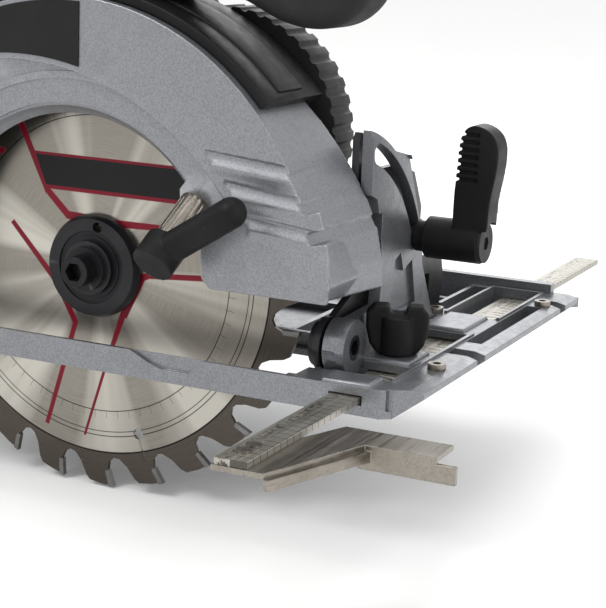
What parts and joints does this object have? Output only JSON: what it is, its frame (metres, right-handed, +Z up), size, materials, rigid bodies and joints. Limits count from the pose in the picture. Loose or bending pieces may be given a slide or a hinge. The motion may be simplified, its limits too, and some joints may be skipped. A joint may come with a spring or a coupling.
{
  "type": "circular saw",
  "caption": "Hand-held cordless circular saw with tilting sole, swinging lower guard, toothed blade, parallel guide and slide-in battery.",
  "frame": {"origin": "on the sole's underside, straight below the arbor along X and on the sole's middle line", "axes": "+X the cutting direction, +Y away from the blade's open side, +Z up out of the sole"},
  "size_m": [0.3545, 0.4058, 0.2593],
  "materials": {
    "cast_grey": "silver-grey painted die-cast alloy, fine satin texture",
    "cast_bright": "bare die-cast alloy, satin",
    "blade_steel": "circular-ground steel, oiled",
    "carbide": "ground carbide",
    "zinc_steel": "zinc-plated steel, bright",
    "black_steel": "black-oxide steel, satin",
    "black_plastic": "black glass-filled nylon, fine grain",
    "grey_plastic": "dark grey plastic, fine grain",
    "soft_grip": "charcoal soft-touch rubber",
    "red_plastic": "red plastic",
    "label": "blank black label",
    "copper": "lacquered copper windings",
    "circuit": "circuit board",
    "cell_wrap": "shrink-wrapped cells"
  },
  "bodies": {
    "base": {"base_plate": "cast_bright", "bevel_quadrant": "cast_bright", "rear_pivot_bracket": "cast_bright", "front_pivot_bolt": "black_steel", "rear_pivot_bolt": "black_steel", "base_fasteners": "zinc_steel"},
    "tilt_frame": {"front_tilt_plate": "black_steel", "depth_arc": "zinc_steel", "depth_pivot_pin": "zinc_steel", "bevel_clamp_bolt": "zinc_steel"},
    "bevel_lever": {"bevel_lever": "black_plastic", "bevel_lever_cap": "grey_plastic"},
    "guide": {"guide_bar": "zinc_steel", "guide_fence": "zinc_steel", "guide_rivets": "zinc_steel"},
    "guide_screw": {"guide_wing_screw": "black_plastic"},
    "head": {"upper_guard": "cast_grey", "gear_case": "cast_grey", "guard_label": "label", "guard_screws": "black_steel", "guard_spring": "zinc_steel", "rim_cover": "black_plastic", "rim_grip_band": "grey_plastic", "front_handle": "soft_grip", "dust_port": "black_plastic", "motor_housing": "grey_plastic", "motor_end_cap": "black_plastic", "stator": "copper", "control_board": "circuit", "motor_bearings": "zinc_steel", "spindle_bearings": "zinc_steel", "handle_left": "grey_plastic", "handle_right": "grey_plastic", "handle_grip": "soft_grip", "switch_box": "black_plastic", "handle_screws": "black_steel", "battery_dock": "black_plastic", "depth_clamp_bolt": "zinc_steel"},
    "rotor": {"motor_rotor": "zinc_steel", "pinion": "zinc_steel", "cooling_fan": "black_plastic"},
    "blade": {"saw_blade": "blade_steel", "carbide_tips": "carbide", "inner_flange": "black_steel", "outer_flange": "black_steel", "arbor_bolt": "black_steel", "spindle": "zinc_steel", "driven_gear": "zinc_steel"},
    "lower_guard": {"lower_guard": "cast_grey", "guard_lever_stem": "zinc_steel", "guard_lever": "black_plastic"},
    "depth_lever": {"depth_lever": "black_plastic"},
    "trigger": {"trigger": "black_plastic"},
    "lock_off_button": {"lock_off_button": "black_plastic"},
    "spindle_lock_button": {"spindle_lock_button": "black_plastic"},
    "battery": {"battery_shell": "black_plastic", "battery_cells": "cell_wrap"},
    "battery_latch": {"battery_latch": "red_plastic"}
  },
  "joints": [
    {"name": "bevel_tilt", "type": "hinge", "parent": "base", "child": "tilt_frame", "pos_m": [0, -0.072, 0.0176], "axis": [1, 0, 0], "range_deg": [0, 45]},
    {"name": "depth_swing", "type": "hinge", "parent": "tilt_frame", "child": "head", "pos_m": [0.102, -0.0585, 0.0501], "axis": [0, 1, 0], "range_deg": [0, 18]},
    {"name": "bevel_lever_turn", "type": "hinge", "parent": "tilt_frame", "child": "bevel_lever", "pos_m": [0.13, -0.003, 0.0513], "axis": [-1, 0, 0], "range_deg": [0, 75]},
    {"name": "guide_slide", "type": "slide", "parent": "base", "child": "guide", "axis": [0, -1, 0], "range_m": [-0.024, 0.11]},
    {"name": "guide_screw_turn", "type": "hinge", "parent": "base", "child": "guide_screw", "pos_m": [0.1266, -0.0525, 0.0211], "axis": [0, 0, 1], "range_deg": [0, 270]},
    {"name": "blade_spin", "type": "hinge", "parent": "head", "child": "blade", "pos_m": [0, -0.0725, 0.0361], "axis": [0, 1, 0], "continuous": true},
    {"name": "motor_spin", "type": "hinge", "parent": "head", "child": "rotor", "pos_m": [0.0172, -0.0125, 0.05945], "axis": [0, 1, 0], "continuous": true},
    {"name": "lower_guard_swing", "type": "hinge", "parent": "head", "child": "lower_guard", "pos_m": [0, -0.0725, 0.0361], "axis": [0, -1, 0], "range_deg": [0, 150]},
    {"name": "depth_lever_turn", "type": "hinge", "parent": "head", "child": "depth_lever", "pos_m": [-0.094, -0.0455, 0.0501], "axis": [0, 1, 0], "range_deg": [0, 55]},
    {"name": "trigger_pull", "type": "slide", "parent": "head", "child": "trigger", "axis": [0, 0, 1], "range_m": [0, 0.0045], "stiffness_N_per_m": 600, "springref_m": -0.002},
    {"name": "lock_off_press", "type": "slide", "parent": "head", "child": "lock_off_button", "axis": [0, 1, 0], "range_m": [0, 0.0025], "stiffness_N_per_m": 500, "springref_m": -0.001},
    {"name": "spindle_lock_press", "type": "slide", "parent": "head", "child": "spindle_lock_button", "axis": [1, 0, 0], "range_m": [0, 0.0025], "stiffness_N_per_m": 500, "springref_m": -0.001},
    {"name": "battery_slide", "type": "slide", "parent": "head", "child": "battery", "axis": [-1, 0, 0], "range_m": [0, 0.08]},
    {"name": "battery_latch_press", "type": "slide", "parent": "battery", "child": "battery_latch", "axis": [0, 0, -1], "range_m": [0, 0.0022], "stiffness_N_per_m": 400, "springref_m": -0.001}
  ],
  "couplings": [
    {"joint": "motor_spin", "follows": "blade_spin", "ratio": -4.8}
  ]
}
